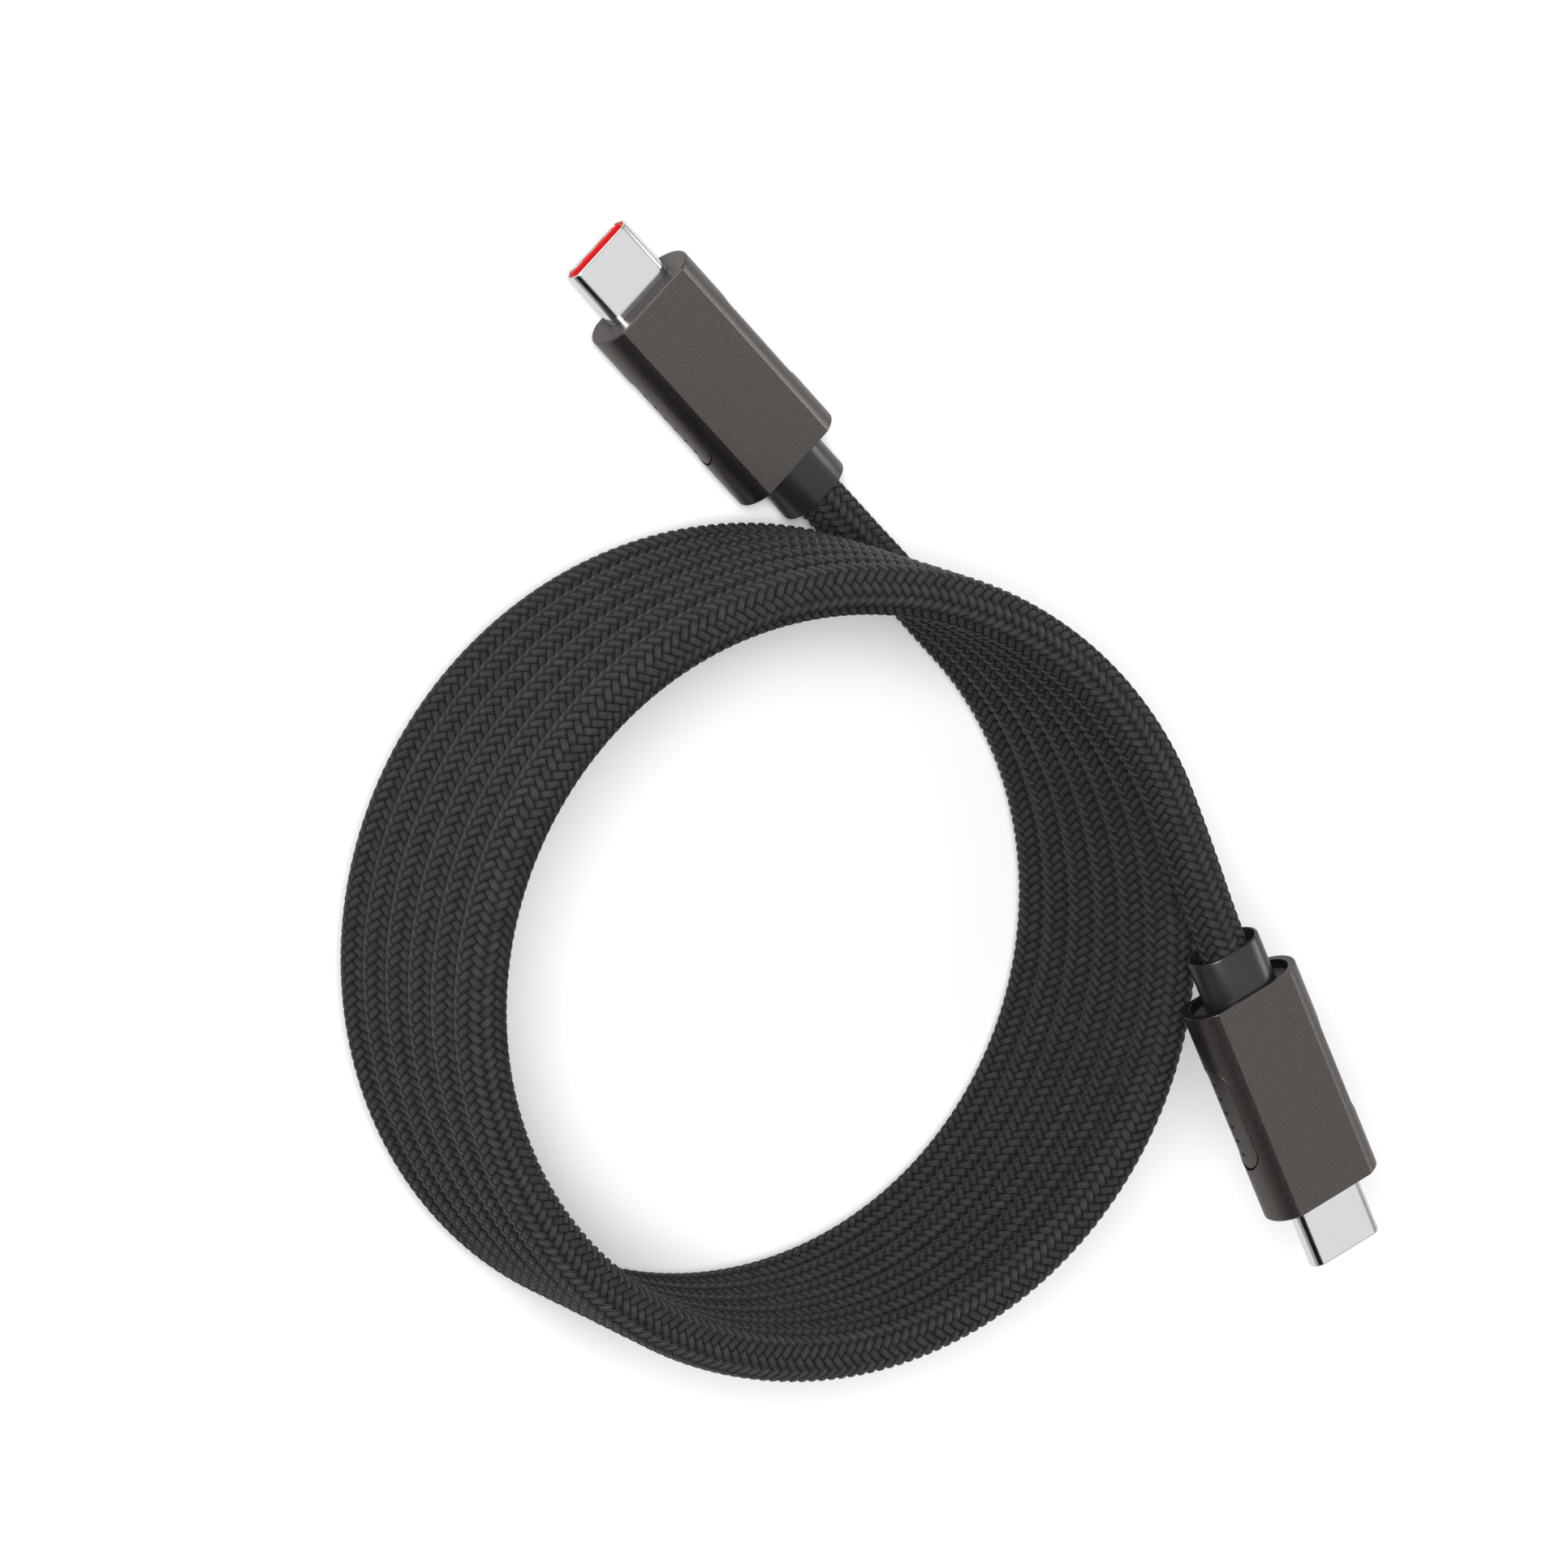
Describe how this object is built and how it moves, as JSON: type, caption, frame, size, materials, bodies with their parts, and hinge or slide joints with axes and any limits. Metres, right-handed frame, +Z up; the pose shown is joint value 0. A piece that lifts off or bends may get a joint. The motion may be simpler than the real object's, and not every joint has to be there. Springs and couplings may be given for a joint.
{
  "type": "charging cable",
  "caption": "Braided charging cable wound in a flat round coil, with a flat two-way plug, metal housing and strain collar at each end.",
  "frame": {"origin": "on the coil's axis, in the plane of the table that the coil and plug A lie on", "axes": "+Z up along the coil's axis; plug A's tip points along -X; the cord runs clockwise seen from +Z, from plug A at the bottom to plug B at the top"},
  "size_m": [0.1223, 0.0864, 0.0401],
  "materials": {
    "cord_braid": "tight two-over two-under braid of fine yarn, soft sheen",
    "housing_metal": "gunmetal anodised, fine blasted grain, satin",
    "collar_plastic": "satin moulded elastomer",
    "mould_plastic": "matt moulded plastic",
    "shell_steel": "bright nickel plated, drawn",
    "mouth_red": "satin moulded plastic, strong red",
    "contact_gold": "gold plated, smooth",
    "spring_steel": "stamped spring steel",
    "board_green": "solder-masked laminate",
    "chip_black": "moulded package, matt",
    "can_tin": "tin plated, dull",
    "wire_red": "extruded insulation",
    "wire_black": "extruded insulation",
    "wire_white": "extruded insulation"
  },
  "bodies": {
    "root": {"cord_coil": "cord_braid", "cord_lead_a": "cord_braid", "cord_lead_b": "cord_braid", "plug_a_housing_sleeve": "housing_metal", "plug_a_side_inlay_left": "housing_metal", "plug_a_side_inlay_right": "housing_metal", "plug_a_strain_collar": "collar_plastic", "plug_a_inner_mould": "mould_plastic", "plug_a_plug_shell": "shell_steel", "plug_a_mouth_insulator": "mouth_red", "plug_a_contact_carrier": "mould_plastic", "plug_a_upper_contacts": "contact_gold", "plug_a_lower_contacts": "contact_gold", "plug_a_upper_ground_spring": "spring_steel", "plug_a_lower_ground_spring": "spring_steel", "plug_a_paddle_board": "board_green", "plug_a_board_parts": "chip_black", "plug_a_shield_can_upper": "can_tin", "plug_a_shield_can_lower": "can_tin", "plug_a_crimp_ferrule": "can_tin", "plug_a_power_wire": "wire_red", "plug_a_ground_wire": "wire_black", "plug_a_signal_wires": "wire_white", "plug_b_housing_sleeve": "housing_metal", "plug_b_side_inlay_left": "housing_metal", "plug_b_side_inlay_right": "housing_metal", "plug_b_strain_collar": "collar_plastic", "plug_b_inner_mould": "mould_plastic", "plug_b_plug_shell": "shell_steel", "plug_b_mouth_insulator": "mouth_red", "plug_b_contact_carrier": "mould_plastic", "plug_b_upper_contacts": "contact_gold", "plug_b_lower_contacts": "contact_gold", "plug_b_upper_ground_spring": "spring_steel", "plug_b_lower_ground_spring": "spring_steel", "plug_b_paddle_board": "board_green", "plug_b_board_parts": "chip_black", "plug_b_shield_can_upper": "can_tin", "plug_b_shield_can_lower": "can_tin", "plug_b_crimp_ferrule": "can_tin", "plug_b_power_wire": "wire_red", "plug_b_ground_wire": "wire_black", "plug_b_signal_wires": "wire_white", "plug_a_marker_chip": "chip_black"},
    "plug_a_latch_left_body": {"plug_a_latch_left": "spring_steel"},
    "plug_a_latch_right_body": {"plug_a_latch_right": "spring_steel"},
    "plug_b_latch_left_body": {"plug_b_latch_left": "spring_steel"},
    "plug_b_latch_right_body": {"plug_b_latch_right": "spring_steel"}
  },
  "joints": [
    {"name": "plug_a_latch_left_flex", "type": "hinge", "parent": "root", "child": "plug_a_latch_left_body", "pos_m": [-0.0497, 0.03505, 0.00325], "axis": [0, 0, 1], "range_deg": [0, 1.2], "stiffness_Nm_per_rad": 0.33},
    {"name": "plug_a_latch_right_flex", "type": "hinge", "parent": "root", "child": "plug_a_latch_right_body", "pos_m": [-0.0497, 0.04205, 0.00325], "axis": [0, 0, -1], "range_deg": [0, 1.2], "stiffness_Nm_per_rad": 0.33},
    {"name": "plug_b_latch_left_flex", "type": "hinge", "parent": "root", "child": "plug_b_latch_left_body", "pos_m": [0.05445, 0.02482, 0.03671], "axis": [0.0053, -0.0018, 1], "range_deg": [0, 1.2], "stiffness_Nm_per_rad": 0.33},
    {"name": "plug_b_latch_right_flex", "type": "hinge", "parent": "root", "child": "plug_b_latch_right_body", "pos_m": [0.05219, 0.01819, 0.03671], "axis": [-0.0053, 0.0018, -1], "range_deg": [0, 1.2], "stiffness_Nm_per_rad": 0.33}
  ]
}
